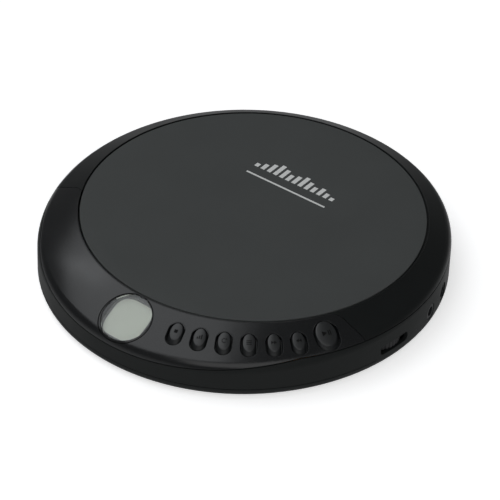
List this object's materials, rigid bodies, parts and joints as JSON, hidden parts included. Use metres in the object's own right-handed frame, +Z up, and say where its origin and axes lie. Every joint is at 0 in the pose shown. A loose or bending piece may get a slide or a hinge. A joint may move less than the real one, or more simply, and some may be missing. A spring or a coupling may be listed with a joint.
{
  "type": "portable cd player",
  "caption": "Slim round portable disc player with a hinged lid, a sloping gloss front with a round display and oval keys, and a working disc drive inside.",
  "frame": {"origin": "on the surface the rubber feet stand on, under the centre of the case", "axes": "+Z up, +Y to the lid hinge at the rear, +X to the side with the sockets"},
  "size_m": [0.1448, 0.1498, 0.0215],
  "materials": {
    "case_black": "fine matt black moulding",
    "fascia_gloss": "glossy black moulding",
    "lid_satin": "satin black moulding",
    "panel_grey": "dark grey soft matt disc",
    "button_black": "semi gloss black keys",
    "inner_black": "matt black inner mouldings",
    "window": "clear acrylic",
    "lens_glass": "coated lens",
    "lcd": "blank grey-green liquid crystal panel",
    "flex_board": "amber film",
    "contact_metal": "bright plated contacts",
    "steel": "polished steel",
    "pressed_steel": "plated steel",
    "die_cast": "die cast",
    "brass": "turned brass",
    "gear_white": "natural acetal",
    "board_green": "green solder resist",
    "board_part": "black component bodies",
    "capacitor": "plain cans",
    "rubber_black": "knurled thumb wheel",
    "foot_rubber": "soft black rubber"
  },
  "bodies": {
    "base": {"bottom_case": "case_black", "mid_case": "case_black", "front_fascia": "fascia_gloss", "display_window": "window", "lcd_holder": "inner_black", "lcd_panel": "lcd", "key_board": "flex_board", "key_domes": "contact_metal", "hinge_pins": "steel", "volume_pot": "board_part", "phones_jack": "inner_black", "dc_inlet": "inner_black", "main_pcb": "board_green", "chips": "board_part", "capacitors": "capacitor", "rubber_feet": "foot_rubber", "case_screws": "steel", "dampers": "foot_rubber", "damper_screws": "steel", "drive_chassis": "pressed_steel", "guide_rods": "steel", "spindle_motor": "pressed_steel", "feed_motor": "pressed_steel", "battery_contacts": "contact_metal", "lid_switch": "board_part"},
    "lid": {"lid_shell": "lid_satin", "lid_panel": "panel_grey", "lid_liner": "inner_black", "lid_hook": "lid_satin"},
    "open_slide": {"open_slide": "case_black"},
    "volume_wheel": {"volume_wheel": "rubber_black"},
    "turntable": {"turntable": "inner_black", "spindle_shaft": "steel", "clamp_balls": "steel"},
    "pickup": {"pickup_sled": "die_cast", "feed_rack": "gear_white"},
    "feed_gear": {"feed_gear": "gear_white"},
    "motor_pinion": {"motor_pinion": "brass"},
    "lens": {"lens_holder": "inner_black", "lens": "lens_glass"},
    "battery_door": {"battery_door": "case_black"},
    "button_play": {"button_play": "button_black"},
    "button_stop": {"button_stop": "button_black"},
    "button_bass": {"button_bass": "button_black"},
    "button_mode": {"button_mode": "button_black"},
    "button_program": {"button_program": "button_black"},
    "button_next": {"button_next": "button_black"},
    "button_previous": {"button_previous": "button_black"}
  },
  "joints": [
    {"name": "lid_hinge", "type": "hinge", "parent": "base", "child": "lid", "pos_m": [0, 0.0695, 0.0095], "axis": [-1, 0, 0], "range_deg": [0, 65]},
    {"name": "open_slide_travel", "type": "slide", "parent": "base", "child": "open_slide", "axis": [0, 1, 0], "range_m": [0, 0.003], "stiffness_N_per_m": 250},
    {"name": "volume_turn", "type": "hinge", "parent": "base", "child": "volume_wheel", "pos_m": [0.06246, -0.00822, 0.0074], "axis": [0, 0, 1], "range_deg": [0, 280]},
    {"name": "spindle_spin", "type": "hinge", "parent": "base", "child": "turntable", "pos_m": [0, 0.0046, 0.0164], "axis": [0, 0, 1], "continuous": true},
    {"name": "pickup_travel", "type": "slide", "parent": "base", "child": "pickup", "axis": [0, -1, 0], "range_m": [0, 0.0335]},
    {"name": "feed_gear_turn", "type": "hinge", "parent": "base", "child": "feed_gear", "pos_m": [0.0187, -0.024, 0.011], "axis": [0, 0, 1], "range_deg": [-1, 428]},
    {"name": "motor_pinion_turn", "type": "hinge", "parent": "base", "child": "motor_pinion", "pos_m": [0.02436, -0.02966, 0.0119], "axis": [0, 0, 1], "range_deg": [-940, 1]},
    {"name": "lens_focus", "type": "slide", "parent": "pickup", "child": "lens", "axis": [0, 0, 1], "range_m": [-0.0004, 0.0004], "stiffness_N_per_m": 100},
    {"name": "battery_door_slide", "type": "slide", "parent": "base", "child": "battery_door", "axis": [0, 1, 0], "range_m": [0, 0.042]},
    {"name": "press_stop", "type": "slide", "parent": "base", "child": "button_stop", "axis": [-0.1135, 0.4234, -0.8988], "range_m": [0, 0.0006], "stiffness_N_per_m": 400},
    {"name": "press_bass", "type": "slide", "parent": "base", "child": "button_bass", "axis": [-0.1642, 0.4065, -0.8988], "range_m": [0, 0.0006], "stiffness_N_per_m": 400},
    {"name": "press_mode", "type": "slide", "parent": "base", "child": "button_mode", "axis": [-0.2125, 0.3834, -0.8988], "range_m": [0, 0.0006], "stiffness_N_per_m": 400},
    {"name": "press_program", "type": "slide", "parent": "base", "child": "button_program", "axis": [-0.2577, 0.3546, -0.8988], "range_m": [0, 0.0006], "stiffness_N_per_m": 400},
    {"name": "press_next", "type": "slide", "parent": "base", "child": "button_next", "axis": [-0.299, 0.3206, -0.8988], "range_m": [0, 0.0006], "stiffness_N_per_m": 400},
    {"name": "press_previous", "type": "slide", "parent": "base", "child": "button_previous", "axis": [-0.3358, 0.2818, -0.8988], "range_m": [0, 0.0006], "stiffness_N_per_m": 400},
    {"name": "press_play", "type": "slide", "parent": "base", "child": "button_play", "axis": [-0.3734, 0.2297, -0.8988], "range_m": [0, 0.0006], "stiffness_N_per_m": 400}
  ],
  "couplings": [
    {"joint": "feed_gear_turn", "follows": "pickup_travel", "rad_per_m": 222.22},
    {"joint": "motor_pinion_turn", "follows": "pickup_travel", "rad_per_m": -488.89}
  ]
}
